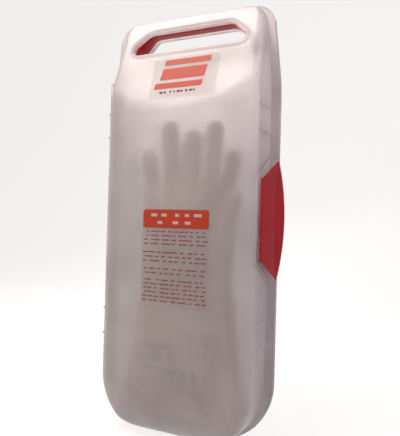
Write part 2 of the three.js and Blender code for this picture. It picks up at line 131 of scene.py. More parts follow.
def seen_level(tree, lit, seen):
    """One strength for rays that only light the scene, and another for rays that see it."""
    path = add_node(tree, "ShaderNodeLightPath").outputs
    straight = add_node(tree, "ShaderNodeMath", {0: path["Is Camera Ray"], 1: path["Is Glossy Ray"]},
                        operation="MAXIMUM")
    any_seen = add_node(tree, "ShaderNodeMath", {0: straight.outputs[0], 1: path["Is Transmission Ray"]},
                        operation="MAXIMUM")
    return add_node(tree, "ShaderNodeMapRange", {"Value": any_seen.outputs[0], "To Min": lit,
                    "To Max": seen}).outputs["Result"]


def background_paper():
    """Matt paper, seen as nearly white, that still takes the case's soft shadow."""
    material, tree = new_material("matt_background_paper")
    paper = add_node(tree, "ShaderNodeBsdfDiffuse", {"Color": linear("#a8a6a6")})
    glow = add_node(tree, "ShaderNodeEmission", {"Color": linear("#fffdfc"),
                    "Strength": seen_level(tree, 0.0, 0.8)})
    both = add_node(tree, "ShaderNodeAddShader", {0: paper.outputs[0], 1: glow.outputs[0]})
    add_node(tree, "ShaderNodeOutputMaterial", {"Surface": both.outputs[0]})
    return material


def add_studio():
    width, front, back, height, bend = 6.0, -2.5, 1.6, 3.0, 0.8
    line = [(front, 0.0)]
    for step in range(13):
        turn = math.radians(90 * step / 12)
        line.append((back - bend + bend * math.sin(turn), bend - bend * math.cos(turn)))
    line.append((back, height))
    drop = -0.0004
    vertices = [(x, y, z + drop) for x in (-width / 2, width / 2) for y, z in line]
    count = len(line)
    faces = [(i, i + count, i + count + 1, i + 1) for i in range(count - 1)]
    paper = new_piece("background_sweep", vertices, faces, background_paper())
    paper.data.shade_smooth()

    for name, spot, size, power, colour in (
            ("overhead_softbox", (-0.30, -0.30, 1.12), 0.6, 7.0, "#fff6ee"),
            ("front_softbox", (-0.55, -1.1, 0.55), 0.9, 0.8, "#fffaf6"),
            ("latch_side_softbox", (1.1, -0.30, 0.45), 0.8, 3.2, "#e8d0f2"),
            ("back_softbox", (-0.35, 1.0, 0.9), 0.8, 4.5, "#fffaf6")):
        lamp = bpy.data.lights.new(name, "AREA")
        lamp.shape, lamp.size, lamp.energy = "SQUARE", size, power
        lamp.color = linear(colour)[:3]
        box = bpy.data.objects.new(name, lamp)
        aim = Vector((0, 0, 0.3)) - Vector(spot)
        box.matrix_world = Matrix.Translation(spot) @ aim.to_track_quat("-Z", "Y").to_matrix().to_4x4()
        bpy.context.scene.collection.objects.link(box)

    world = bpy.data.worlds.new("pale_room")
    world.use_nodes = True
    world.node_tree.nodes.clear()
    room = add_node(world.node_tree, "ShaderNodeBackground", {"Color": linear("#fcfafb"),
                    "Strength": seen_level(world.node_tree, 0.21, 1.0)})
    add_node(world.node_tree, "ShaderNodeOutputWorld", {"Surface": room.outputs[0]})
    bpy.context.scene.world = world
    bpy.context.scene.view_settings.view_transform = "Standard"


add_studio()


# ---- Case halves -------------------------------------------------------------------------------
# The cover and the tray are moulded from natural polypropylene, about 2 mm thick, which
# is milky: it lets light through and blurs what stands behind it. Each has a flange at the seam.
def milky_polypropylene():
    """Natural polypropylene out of a finely eroded mould: a satin, cloudy, half clear wall."""
    material, tree = new_material("moulded_natural_polypropylene")
    where = add_node(tree, "ShaderNodeTexCoord").outputs["Object"]
    # Flow clouds in the melt, about 40 mm across
    cloud = add_node(tree, "ShaderNodeTexNoise", {"Vector": where, "Scale": 1 / 0.040, "Detail": 3.0})
    tint = two_tone(tree, cloud, "#d9d4d3", "#e6e2e1", 0.35, 0.68)
    # Shrinkage leaves the wall very slightly uneven, over about 12 mm
    uneven = add_node(tree, "ShaderNodeTexNoise", {"Vector": where, "Scale": 1 / 0.012, "Detail": 0.0})
    skin = add_node(tree, "ShaderNodeBump", {"Height": uneven.outputs["Fac"], "Strength": 0.1,
                    "Distance": 0.0004})
    satin = add_node(tree, "ShaderNodeMapRange", {"Value": cloud.outputs["Fac"], "To Min": 0.285,
                     "To Max": 0.34})
    wall = add_node(tree, "ShaderNodeBsdfPrincipled", {
        "Base Color": tint, "Roughness": satin.outputs["Result"], "IOR": 1.49,
        "Transmission Weight": 0.72, "Normal": skin.outputs["Normal"]})
    # Lamps shine through the wall as through thin milky plastic
    passed = add_node(tree, "ShaderNodeBsdfTransparent", {"Color": linear("#d6cdd0")})
    path = add_node(tree, "ShaderNodeLightPath")
    mixed = add_node(tree, "ShaderNodeMixShader", {0: path.outputs["Is Shadow Ray"], 1: wall.outputs[0],
                     2: passed.outputs[0]})
    add_node(tree, "ShaderNodeOutputMaterial", {"Surface": mixed.outputs[0]})
    return material


MILKY = milky_polypropylene()

# Sizes of the case in millimetres
HEIGHT, HALF_WIDTH, FLANGE, WALL, RIM = 480, 105, 9, 2, 0.15
SHOULDER, LOW_CORNER, HIGH_CORNER, TOP_LEAN = 390, 68, 25, 7
TOP_DEPTH, TOP_SLOPE, EDGE_ROUND, DRAFT, TOP_ROUND = 8, 0.32, 10, 4, 5
COVER_HALF = {"facing": -1, "depth": 38, "crown": 8, "foot_round": 38, "pocket_gap": 0.7}
TRAY_HALF = {"facing": 1, "depth": 34, "crown": 0, "foot_round": 10, "pocket_gap": 0.3}


def eased_min(a, b, blend=2.5):
    """The smaller of two depths, with the crease between them rounded over."""
    mix = np.clip(0.5 + (b - a) / (2 * blend), 0, 1)
    return b * (1 - mix) + a * mix - blend * mix * (1 - mix)


def half_width(z, inset, flange):
    """Half the case's width at a height: straight sides that lean in at the top, round corners."""
    low = LOW_CORNER - flange / 2 - inset
    high = HIGH_CORNER - flange / 2 - inset
    ease, start = 30, SHOULDER - 15
    leaning = np.clip(z - start, 0, ease) ** 2 / (2 * ease) + np.clip(z - start - ease, 0, None)
    whole = ease / 2 + (HEIGHT - HIGH_CORNER + flange / 2 - start - ease)
    width = HALF_WIDTH - flange - inset - TOP_LEAN * np.clip(leaning / whole, 0, 1)
    foot = np.clip(low - (z - inset), 0, low)
    head = np.clip(z - (HEIGHT - inset - high), 0, high)
    return width - (low - np.sqrt(low ** 2 - foot ** 2)) - (high - np.sqrt(high ** 2 - head ** 2))


def slot_outline(grow, steps=12):
    """The handle slot, grown all round: small low corners, large high ones, leaning ends."""
    low_x, low_z, low_r, high_x, high_z, high_r = 62, 443, 8, 46, 446, 16
    between = math.hypot(high_x - low_x, high_z - low_z)
    lean = math.atan2(high_z - low_z, high_x - low_x) - math.acos((low_r - high_r) / between)
    points = []
    for sign, x, z, r, first, last in (
            (1, low_x, low_z, low_r, -math.pi / 2, lean), (1, high_x, high_z, high_r, lean, math.pi / 2),
            (-1, high_x, high_z, high_r, math.pi / 2, lean), (-1, low_x, low_z, low_r, lean, -math.pi / 2)):
        for step in range(steps + 1):
            turn = first + (last - first) * step / steps
            points.append((sign * (x + (r + grow) * math.cos(turn)), z + (r + grow) * math.sin(turn)))
    return points


def distance_to_slot(x, z):
    """How far points of the front view lie from the handle slot's edge, and 0 within the slot."""
    ring = np.array(slot_outline(0))
    starts, ends = ring, np.roll(ring, -1, axis=0)
    nearest = np.full(x.shape, 1e9)
    within = np.zeros(x.shape, bool)
    for (x0, z0), (x1, z1) in zip(starts, ends):
        if z0 != z1:
            within ^= ((z0 > z) != (z1 > z)) & (x < x0 + (z - z0) / (z1 - z0) * (x1 - x0))
        dx, dz = x1 - x0, z1 - z0
        length = dx * dx + dz * dz
        if length > 1e-9:
            along = np.clip(((x - x0) * dx + (z - z0) * dz) / length, 0, 1)
            nearest = np.minimum(nearest, np.hypot(x - x0 - along * dx, z - z0 - along * dz))
    return np.where(within, 0, nearest)


def slope_depth(z, thinner=0.0):
    """Depth of the two slopes that run up to the handle bar."""
    return TOP_DEPTH + TOP_SLOPE * (HEIGHT - z) - thinner


def edge_depth(z, half, inset):
    """Depth of a half at height z where its foot, its slope or its top round limits it."""
    face = half["depth"] + half["crown"] - inset
    foot_r = half["foot_round"] - inset
    top_r = TOP_ROUND
    foot = np.clip(foot_r - (z - inset), 0, foot_r)
    head = np.clip(z - (HEIGHT - inset - top_r), 0, top_r)
    sloped = slope_depth(z) - inset * math.hypot(1, TOP_SLOPE) - (top_r - np.sqrt(top_r ** 2 - head ** 2))
    return np.minimum(face - foot_r + np.sqrt(foot_r ** 2 - foot ** 2), sloped)


def front_depth(x, z, half, inset, reach=82.0):
    """Depth of a half's face: crowned across, and rolled over towards the handle slot."""
    flat = half["depth"] - inset
    crowned = flat + half["crown"] * np.clip(1 - (x / reach) ** 2, 0, 1)
    roll, drop = 4.5, 1.8
    near = np.clip(1 - distance_to_slot(x, z) / roll, 0, 1)
    rolled = drop * near ** 2 if inset <= 0 else 0
    return eased_min(crowned, edge_depth(z, half, inset)) - rolled


def new_solid(name, vertices, faces):
    """A closed solid in case millimetres, with its faces turned outwards."""
    piece = new_piece(name, [place(*v) for v in vertices], faces, MILKY)
    build = bmesh.new()
    build.from_mesh(piece.data)
    bmesh.ops.remove_doubles(build, verts=build.verts, dist=1e-7)
    bmesh.ops.recalc_face_normals(build, faces=build.faces)
    build.to_mesh(piece.data)
    build.free()
    return piece


def column_faces(count, loops):
    """The two ends and the side faces of a column of closed loops, with count points in each."""
    faces = [tuple(range(count)), tuple(range((loops - 1) * count, loops * count))]
    for low in range(0, (loops - 1) * count, count):
        for i in range(count):
            beside = (i + 1) % count
            faces.append((low + i, low + beside, low + count + beside, low + count + i))
    return faces


def make_plain(piece):
    """Turns a piece and its modifiers into one plain mesh."""
    evaluated = piece.evaluated_get(bpy.context.evaluated_depsgraph_get())
    mesh = bpy.data.meshes.new_from_object(evaluated)
    piece.modifiers.clear()
    piece.data = mesh
    return piece


def remake_in(piece, material):
    """Gives a piece one material in place of those it has."""
    piece.data.materials.clear()
    piece.data.materials.append(material)


def combine(piece, operation, other):
    """Joins another closed solid to a piece, or cuts it away, or keeps what they share."""
    change = piece.modifiers.new("combine", "BOOLEAN")
    change.operation, change.object, change.solver = operation, other, "MANIFOLD"
    make_plain(piece)
    bpy.data.objects.remove(other)
    return piece


def half_heights(inset):
    low = LOW_CORNER - FLANGE / 2 - inset
    high = HIGH_CORNER - FLANGE / 2 - inset
    turns = np.radians(np.linspace(0, 90, 22))
    foot = inset + low * (1 - np.cos(turns))
    head = HEIGHT - inset - high * (1 - np.sin(turns))
    upper = np.arange(345, HEIGHT - high - 1, 2.0)
    return np.unique(np.concatenate([foot, np.arange(foot[-1] + 8, 344, 8), upper, head]).round(4))


def half_block(name, half, inset, rim):
    """One half as a full block: a column of plans, each with drafted sides and rounded edges."""
    rows = []
    for z in half_heights(inset):
        width = float(half_width(z, inset, FLANGE))
        depth = float(eased_min(np.float64(half["depth"] - inset), edge_depth(z, half, inset)))
        edge = min(EDGE_ROUND - inset, 0.6 * depth, 0.5 * width)
        draft = DRAFT * (depth - edge) / (half["depth"] - EDGE_ROUND)
        wall = [(width - draft * t, rim + (depth - edge - rim) * t) for t in np.linspace(0, 1, 6)]
        centre = width - draft - edge
        for turn in np.radians(np.linspace(0, 90, 9)[1:-1]):
            wall.append((centre + edge * math.cos(turn), depth - edge + edge * math.sin(turn)))
        across = centre * np.sin(np.radians(np.linspace(90, -90, 91)))
        deep = front_depth(across, np.full(across.shape, z), half, inset, max(centre, 1.0))
        plan = wall + list(zip(across, deep)) + [(-x, y) for x, y in reversed(wall)]
        rows.append([(x, half["facing"] * y, z) for x, y in plan])
    return new_solid(name, [v for row in rows for v in row], column_faces(len(rows[0]), len(rows)))


def prism(name, outline, near, far):
    """A front-view outline run in depth from near to far, each a number or a function of height."""
    loops = []
    for end in (near, far):
        loops.append([(x, end(z) if callable(end) else end, z) for x, z in outline])
    return new_solid(name, loops[0] + loops[1], column_faces(len(outline), 2))


def flange_plate(facing):
    """The flange as a plate over the whole outline, 4 mm thick, with its outer edges rounded."""
    thickness, rounding = 4, 1.0
    heights = np.unique(np.concatenate([
        LOW_CORNER * (1 - np.cos(np.radians(np.linspace(0, 90, 31)))),
        np.arange(76, SHOULDER - 14, 24), np.linspace(SHOULDER - 15, SHOULDER + 15, 7),
        HEIGHT - HIGH_CORNER * (1 - np.sin(np.radians(np.linspace(0, 90, 19))))]))
    loops = []
    for inward, depth in ((rounding, RIM), (rounding * 0.3, RIM + rounding * 0.3), (0, RIM + rounding),
                          (0, thickness - rounding), (rounding * 0.3, thickness - rounding * 0.3),
                          (rounding, thickness)):
        squeeze = (HEIGHT / 2 - inward) / (HEIGHT / 2)
        side = [(float(half_width(z, 0, 0)) - inward, HEIGHT / 2 + (z - HEIGHT / 2) * squeeze)
                for z in heights]
        loop = side + [(-x, z) for x, z in reversed(side)]
        loops.append([(x, facing * depth, z) for x, z in loop])
    vertices = [v for loop in loops for v in loop]
    return new_solid("flange", vertices, column_faces(len(loops[0]), len(loops)))


def box_solid(name, x, y, z):
    vertices = [(a, b, c) for a in x for b in y for c in z]
    faces = [(0, 1, 3, 2), (4, 5, 7, 6), (0, 1, 5, 4), (2, 3, 7, 6), (0, 2, 6, 4), (1, 3, 7, 5)]
    return new_solid(name, vertices, faces)


def half_shell(name, half):
    """Outer form and flange, hollowed to an even wall, with the collar round the handle slot."""
    facing = half["facing"]
    shell = half_block(name, half, 0, RIM)
    combine(shell, "UNION", flange_plate(facing))
    combine(shell, "DIFFERENCE", half_block("hollow", half, WALL, -3))
    ring = 2.5 + half["pocket_gap"]
    collar = prism("collar", slot_outline(ring + WALL), facing * RIM, facing * 60)
    combine(collar, "INTERSECT", half_block("filled", half, 0.2, RIM))
    combine(shell, "UNION", collar)
    lip = 7 - half["pocket_gap"]
    pocket = prism("pocket", slot_outline(ring), -facing * 3, lambda z: facing * slope_depth(z, lip))
    combine(shell, "DIFFERENCE", pocket)
    return combine(shell, "DIFFERENCE", prism("slot", slot_outline(0), -facing * 3, facing * 60))


def row_tree(name, add_shape):
    """Geometry Nodes that repeat one moulded shape up the case's side."""
    tree = bpy.data.node_groups.new(name, "GeometryNodeTree")
    face = tree.interface
    face.new_socket("Geometry", in_out="OUTPUT", socket_type="NodeSocketGeometry")
    face.new_socket("Count", in_out="INPUT", socket_type="NodeSocketInt")
    for label in ("First", "Step", "Size"):
        face.new_socket(label, in_out="INPUT", socket_type="NodeSocketVector")
    face.new_socket("Material", in_out="INPUT", socket_type="NodeSocketMaterial")
    given = add_node(tree, "NodeGroupInput").outputs
    line = add_node(tree, "GeometryNodeMeshLine", {"Count": given["Count"],
                    "Start Location": given["First"], "Offset": given["Step"]})
    copies = add_node(tree, "GeometryNodeInstanceOnPoints", {"Points": line.outputs[0],
                      "Instance": add_shape(tree, given["Size"])})
    real = add_node(tree, "GeometryNodeRealizeInstances", {0: copies.outputs[0]})
    painted = add_node(tree, "GeometryNodeSetMaterial", {"Geometry": real.outputs[0],
                       "Material": given["Material"]})
    add_node(tree, "NodeGroupOutput", {"Geometry": painted.outputs[0]})
    return tree


def add_rib(tree, size):
    return add_node(tree, "GeometryNodeMeshCube", {"Size": size}).outputs["Mesh"]


def add_knuckle(tree, size):
    """A knuckle's cylinder: size holds its radius twice and its length."""
    split = add_node(tree, "ShaderNodeSeparateXYZ", {0: size}).outputs
    return add_node(tree, "GeometryNodeMeshCylinder", {"Vertices": 48, "Radius": split["X"],
                    "Depth": split["Z"]}).outputs["Mesh"]


def grow_row(name, tree, **values):
    """Runs a row tree with its inputs set, and gives the result as one plain mesh."""
    row = new_piece(name, [], [], MILKY)
    change = row.modifiers.new("row", "NODES")
    change.node_group = tree
    sockets = {s.name: s.identifier for s in tree.interface.items_tree if s.in_out == "INPUT"}
    for label, value in values.items():
        change[sockets[label]] = value
    return make_plain(row)


RIBS = row_tree("rib_row", add_rib)
KNUCKLES = row_tree("knuckle_row", add_knuckle)
HINGE_X, HINGE_Z, HINGE_STEP = -109, 92, 148
HINGE_COUNT, PIN_RADIUS = 3, 1.5
# Each knuckle's height from its pin's middle, and its length
COVER_KNUCKLES, TRAY_KNUCKLES = [(0, 19)], [(-17, 14), (17, 14)]


def add_hinge(shell, half, own, other, running_gap):
    """Joins a half's hinge knuckles, each with its web to the flange, and bores them for the pins."""
    facing = half["facing"]
    room_x, room_y, end_gap = (-108, -103.8), sorted((-3 * facing, 7 * facing)), 0.5
    knuckle_radius, bore_length = 4, 52
    web_x, web_y, web_width, web_depth = -104.75, 2.075, 8.5, 3.85
    for offset, length in other:
        for z in range(HINGE_Z, HINGE_Z + HINGE_COUNT * HINGE_STEP, HINGE_STEP):
            ends = (z + offset - length / 2 - end_gap, z + offset + length / 2 + end_gap)
            combine(shell, "DIFFERENCE", box_solid("relief", room_x, room_y, ends))
    step = (0, 0, HINGE_STEP * MM)
    for offset, length in own:
        combine(shell, "UNION", grow_row("knuckles", KNUCKLES, Count=HINGE_COUNT, Step=step,
                First=place(HINGE_X, 0, HINGE_Z + offset),
                Size=Vector((knuckle_radius, knuckle_radius, length)) * MM, Material=MILKY))
        combine(shell, "UNION", grow_row("webs", RIBS, Count=HINGE_COUNT, Step=step,
                First=place(web_x, facing * web_y, HINGE_Z + offset),
                Size=Vector((web_width, web_depth, length)) * MM, Material=MILKY))
    combine(shell, "DIFFERENCE", grow_row("bores", KNUCKLES, Count=HINGE_COUNT, Step=step,
            First=place(HINGE_X, 0, HINGE_Z),
            Size=Vector((PIN_RADIUS + running_gap, 0, bore_length)) * MM, Material=MILKY))


def round_off(piece, width, angle=35, segments=2):
    """Breaks the sharp edges as a mould does, and shades the rest smooth."""
    build = bmesh.new()
    build.from_mesh(piece.data)
    bmesh.ops.remove_doubles(build, verts=build.verts, dist=2e-6)
    bmesh.ops.dissolve_limit(build, angle_limit=math.radians(0.4), verts=build.verts, edges=build.edges)
    build.to_mesh(piece.data)
    build.free()
    bevel = piece.modifiers.new("edges", "BEVEL")
    bevel.width, bevel.segments = width * MM, segments
    bevel.limit_method, bevel.angle_limit = "ANGLE", math.radians(angle)
    bevel.use_clamp_overlap = True
    make_plain(piece)
    piece.data.shade_smooth()
    piece.data.set_sharp_from_angle(angle=math.radians(angle))
    return piece


# ---- Cover -------------------------------------------------------------------------------------
# The front half: a crowned face, a slope up to the handle bar, four short ribs on each side wall,
# and a raised frame that the latch's plate lies in. It swings on the middle knuckles.
LATCH_Z, LATCH_LENGTH, LATCH_EDGE, LATCH_REACH = 244, 128, 86, 32


def latch_frame_ring(grow):
    """Side view of the latch's place on the cover's side wall, grown all round."""
    lean = (LATCH_LENGTH - LATCH_EDGE) / 2 / (LATCH_REACH - 4)

    def half_at(reach):
        return LATCH_LENGTH / 2 - lean * (reach - 4) + grow * math.hypot(1, lean)
    ends = [(0.0, half_at(0)), (LATCH_REACH + grow, half_at(LATCH_REACH + grow))]
    return [(-y, LATCH_Z + s * h) for s in (-1, 1) for y, h in (ends if s < 0 else reversed(ends))]


def side_prism(name, outline, x0, x1):
    vertices = [(x, y, z) for x in (x0, x1) for y, z in outline]
    return new_solid(name, vertices, column_faces(len(outline), 2))


def add_cover():
    cover = half_shell("front_cover", COVER_HALF)
    grown = half_block("grown", COVER_HALF, -1.4, RIM)

    rib_y, rib_size = -19, Vector((230, 30, 1.6)) * MM
    ribs = grow_row("ribs", RIBS, Count=2, First=place(0, rib_y, 108), Step=(0, 0, 29 * MM),
                    Size=rib_size, Material=MILKY)
    combine(ribs, "UNION", grow_row("ribs_high", RIBS, Count=2, First=place(0, rib_y, 337),
            Step=(0, 0, 27 * MM), Size=rib_size, Material=MILKY))
    combine(ribs, "DIFFERENCE", box_solid("between_sides", (-90.5, 90.5), (-80, 10), (50, 420)))
    grown_copy = grown.copy()
    grown_copy.data = grown.data.copy()
    bpy.context.scene.collection.objects.link(grown_copy)
    combine(ribs, "INTERSECT", grown_copy)
    combine(cover, "UNION", ribs)

    raised = side_prism("raised_frame", latch_frame_ring(4.5), 82, 110)
    combine(raised, "DIFFERENCE", side_prism("latch_place", latch_frame_ring(1.5), 80, 112))
    combine(raised, "INTERSECT", grown)
    combine(raised, "DIFFERENCE", box_solid("flange_room", (70, 120), (-4, 10), (0, HEIGHT)))
    combine(raised, "DIFFERENCE", half_block("hollow", COVER_HALF, 1.0, -3))
    combine(cover, "UNION", raised)

    add_hinge(cover, COVER_HALF, COVER_KNUCKLES, TRAY_KNUCKLES, 0.2)
    notch = (LATCH_Z - LATCH_LENGTH / 2 - 1, LATCH_Z + LATCH_LENGTH / 2 + 1)
    combine(cover, "DIFFERENCE", box_solid("notch", (96, 185), (-80, 7), notch))
    round_off(cover, 0.35)
    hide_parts("cover_shell")
    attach(cover, "cover")


add_cover()


# ---- Tray --------------------------------------------------------------------------------------
# The back half: a plain flat-backed tray with the outer hinge knuckles, and two ears on the other
# side that carry the latch's pin.
def upright_rod(name, x, y, radius, z0, z1, steps=48):
    turns = [2 * math.pi * i / steps for i in range(steps)]
    vertices = [(x + radius * math.cos(t), y + radius * math.sin(t), z) for z in (z0, z1) for t in turns]
    return new_solid(name, vertices, column_faces(steps, 2))


def add_tray():
    tray = half_shell("back_tray", TRAY_HALF)
    add_hinge(tray, TRAY_HALF, TRAY_KNUCKLES, COVER_KNUCKLES, 0.15)
    pin_x, pin_y, barrel, ear, ear_radius = 105.5, 5.6, 47, 6, 4
    for half_length, back in ((LATCH_LENGTH / 2 + 1, 1.5), (barrel / 2 + 0.6, 7)):
        notch = (LATCH_Z - half_length, LATCH_Z + half_length)
        combine(tray, "DIFFERENCE", box_solid("notch", (96, 185), (-80, back), notch))
    for side in (-1, 1):
        middle = LATCH_Z + side * ((barrel + ear) / 2 + 0.5)
        ends = (middle - ear / 2, middle + ear / 2)
        combine(tray, "UNION", box_solid("arm", (94, pin_x), (1.5, pin_y + ear_radius), ends))
        combine(tray, "UNION", upright_rod("ear", pin_x, pin_y, ear_radius, *ends))
    combine(tray, "DIFFERENCE", upright_rod("bore", pin_x, pin_y, PIN_RADIUS + 0.15, 180, 308))
    round_off(tray, 0.35)
    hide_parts("tray_shell")
    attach(tray, "root")


add_tray()


# ---- Handle liner and side latch ---------------------------------------------------------------
# Two red mouldings: a ring that lines the handle slot and sits in the tray, and the latch, a
# bent plate with a thumb edge and a barrel that turns on the tray's pin.
def red_polypropylene():
    """Polypropylene dyed in the melt: an even deep red with a soft gloss and faint flow marks."""
    material, tree = new_material("moulded_red_polypropylene")
    where = add_node(tree, "ShaderNodeTexCoord").outputs["Object"]
    flow = add_node(tree, "ShaderNodeTexNoise", {"Vector": where, "Scale": 1 / 0.025, "Detail": 3.0})
    tint = two_tone(tree, flow, "#b80f18", "#cc1620", 0.3, 0.7)
    # The mould's grain is about 0.1 mm, drawn at 0.6 mm so that it shows at all
    grain = add_node(tree, "ShaderNodeTexNoise", {"Vector": where, "Scale": 1 / 0.0006, "Detail": 1.0})
    skin = add_node(tree, "ShaderNodeBump", {"Height": grain.outputs["Fac"], "Strength": 0.15,
                    "Distance": 0.0001})
    gloss = add_node(tree, "ShaderNodeMapRange", {"Value": flow.outputs["Fac"], "To Min": 0.34,
                     "To Max": 0.46})
    body = add_node(tree, "ShaderNodeBsdfPrincipled", {
        "Base Color": tint, "Roughness": gloss.outputs["Result"], "IOR": 1.49,
        "Specular IOR Level": 0.35, "Normal": skin.outputs["Normal"]})
    add_node(tree, "ShaderNodeOutputMaterial", {"Surface": body.outputs[0]})
    return material


RED = red_polypropylene()


def add_liner():
    loops = []
    for grow in (0, 2.5):
        for facing in (-1, 1):
            loops.append([(x, facing * slope_depth(z, 7), z) for x, z in slot_outline(grow)])
    count = len(loops[0])
    faces = []
    for a, b in ((0, 1), (1, 3), (3, 2), (2, 0)):
        for i in range(count):
            beside = (i + 1) % count
            faces.append((a * count + i, a * count + beside, b * count + beside, b * count + i))
    liner = new_solid("handle_ring", [v for loop in loops for v in loop], faces)
    round_off(liner, 0.6, 50, 3)
    remake_in(liner, RED)
    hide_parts("handle_liner")
    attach(liner, "root")


add_liner()


def add_latch():
    """The latch's plate is the moulded form itself, welded, with its edges rounded."""
    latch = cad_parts["side_latch"].copy()
    latch.data = latch.data.copy()
    latch.name = "latch_plate"
    latch.parent = None
    for key in list(latch.keys()):
        del latch[key]
    bpy.context.scene.collection.objects.link(latch)
    build = bmesh.new()
    build.from_mesh(latch.data)
    bmesh.ops.remove_doubles(build, verts=build.verts, dist=1e-6)
    bmesh.ops.dissolve_limit(build, angle_limit=math.radians(2), verts=build.verts, edges=build.edges)
    build.to_mesh(latch.data)
    build.free()
    round_off(latch, 0.9, 30, 3)
    remake_in(latch, RED)
    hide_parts("side_latch")
    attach(latch, "latch")


add_latch()


# ---- Pins --------------------------------------------------------------------------------------
# Four straight lengths of drawn steel wire, cropped and chamfered at the ends: three in the hinge
# and one in the latch's barrel, all held by the tray.
def drawn_steel():
    """Drawn wire: bright metal with fine die lines that run along it."""
    material, tree = new_material("drawn_steel_wire")
    where = add_node(tree, "ShaderNodeTexCoord").outputs["Object"]
    # Die lines are under 0.1 mm apart, drawn at 0.3 mm, and run 20 mm along the wire
    drawn = add_node(tree, "ShaderNodeMapping", {"Vector": where, "Scale": (1 / 0.0003, 1 / 0.0003, 50.0)})
    lines = add_node(tree, "ShaderNodeTexNoise", {"Vector": drawn.outputs[0], "Scale": 1.0})
    dull = add_node(tree, "ShaderNodeMapRange", {"Value": lines.outputs["Fac"], "To Min": 0.22,
                    "To Max": 0.4})
    tint = two_tone(tree, lines, "#a4a7ab", "#cfd1d4")
    body = add_node(tree, "ShaderNodeBsdfPrincipled", {
        "Base Color": tint, "Roughness": dull.outputs["Result"], "Metallic": 1.0})
    add_node(tree, "ShaderNodeOutputMaterial", {"Surface": body.outputs[0]})
    return material


STEEL = drawn_steel()


def add_pin(node):
    low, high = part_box(node)
    radius = (high.x - low.x) / 2 / MM
    x, y = (low.x + high.x) / 2 / MM - CASE_X, (low.y + high.y) / 2 / MM - SEAM_Y
    pin = upright_rod(node + "_wire", x, y, radius, low.z / MM, high.z / MM, 32)
    round_off(pin, 0.35, 40, 2)
    remake_in(pin, STEEL)
    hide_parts(node)
    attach(pin, "root")


for pin_node in ("hinge_pin_lower", "hinge_pin_middle", "hinge_pin_upper", "latch_pin"):
    add_pin(pin_node)


# ---- Gloves ------------------------------------------------------------------------------------
# A left and a right gauntlet glove, dipped in natural latex on a former: seamless, slightly thick,
# with a rolled bead at the cuff. They stand on their cuffs, one behind the other.
def natural_latex():
    """Dipped natural rubber: matt and cream, mottled where it dried unevenly."""
    material, tree = new_material("dipped_natural_latex")
    where = add_node(tree, "ShaderNodeTexCoord").outputs["Object"]
    mottle = add_node(tree, "ShaderNodeTexNoise", {"Vector": where, "Scale": 1 / 0.030, "Detail": 5.0})
    tint = two_tone(tree, mottle, "#bda68e", "#dccbb6", 0.3, 0.7)
    # Drying wrinkles about 2 mm apart
    dried = add_node(tree, "ShaderNodeTexNoise", {"Vector": where, "Scale": 1 / 0.002, "Detail": 3.0})
    skin = add_node(tree, "ShaderNodeBump", {"Height": dried.outputs["Fac"], "Strength": 0.3,
                    "Distance": 0.0003})
    dust = add_node(tree, "ShaderNodeMapRange", {"Value": mottle.outputs["Fac"], "To Min": 0.55,
                    "To Max": 0.75})
    body = add_node(tree, "ShaderNodeBsdfPrincipled", {
        "Base Color": tint, "Roughness": dust.outputs["Result"], "IOR": 1.52,
        "Sheen Weight": 0.15, "Sheen Roughness": 0.5, "Normal": skin.outputs["Normal"]})
    add_node(tree, "ShaderNodeOutputMaterial", {"Surface": body.outputs[0]})
    return material


LATEX = natural_latex()
GLOVE_LENGTH = 338
# Height above the cuff's end, half width and half thickness
GAUNTLET = [(-6, 75, 14.6), (2, 75, 14.6), (18, 70, 13.6), (45, 66, 12.8), (80, 60, 11.8),
            (120, 55, 11.0), (155, 51, 10.6), (185, 52, 10.8), (215, 53, 10.4), (238, 49, 9.8),
            (250, 42, 8.6)]
# Root, tip and the radii there of each finger, in the plane of the hand, thumb last
FINGERS = [((-37, 225), (-49, GLOVE_LENGTH - 33), 10.4, 9.0),
           ((-17, 225), (-21, GLOVE_LENGTH - 2), 10.8, 9.6),
           ((5, 225), (9, GLOVE_LENGTH - 14), 11.0, 9.8),
           ((27, 225), (37, GLOVE_LENGTH - 6), 10.8, 9.4),
           ((34, 150), (62, GLOVE_LENGTH - 82), 11.0, 9.6)]


def ring_tube(sections, steps=32):
    """A closed tube through oval sections: centre, across direction, half width, half thickness."""
    vertices, faces = [], []
    for (cx, cz), (ax, az), wide, thick in sections:
        for i in range(steps):
            turn = 2 * math.pi * i / steps
            across = wide * math.cos(turn)
            vertices.append((cx + across * ax, thick * math.sin(turn), cz + across * az))
    for ring in range(len(sections) - 1):
        for i in range(steps):
            beside = (i + 1) % steps
            faces.append((ring * steps + i, ring * steps + beside,
                          (ring + 1) * steps + beside, (ring + 1) * steps + i))
    faces += [tuple(range(steps)), tuple(range((len(sections) - 1) * steps, len(sections) * steps))]
    return vertices, faces


def finger_sections(root, tip, wide, narrow):
    """A finger that tapers from root to tip, a little flat, with a round end."""
    (x0, z0), (x1, z1) = root, tip
    length = math.hypot(x1 - x0, z1 - z0)
    ux, uz = (x1 - x0) / length, (z1 - z0) / length
    sections = []
    for t in np.linspace(0, 1, 12):
        r = wide + (narrow - wide) * t + 0.5 * math.sin(t * math.pi * 3)
        sections.append((t * (length - narrow), r))
    for turn in np.radians((20, 40, 58, 73, 84)):
        sections.append((length - narrow + narrow * math.sin(turn), narrow * math.cos(turn)))
    return [((x0 + ux * s, z0 + uz * s), (uz, -ux), r, r * 0.92) for s, r in sections]


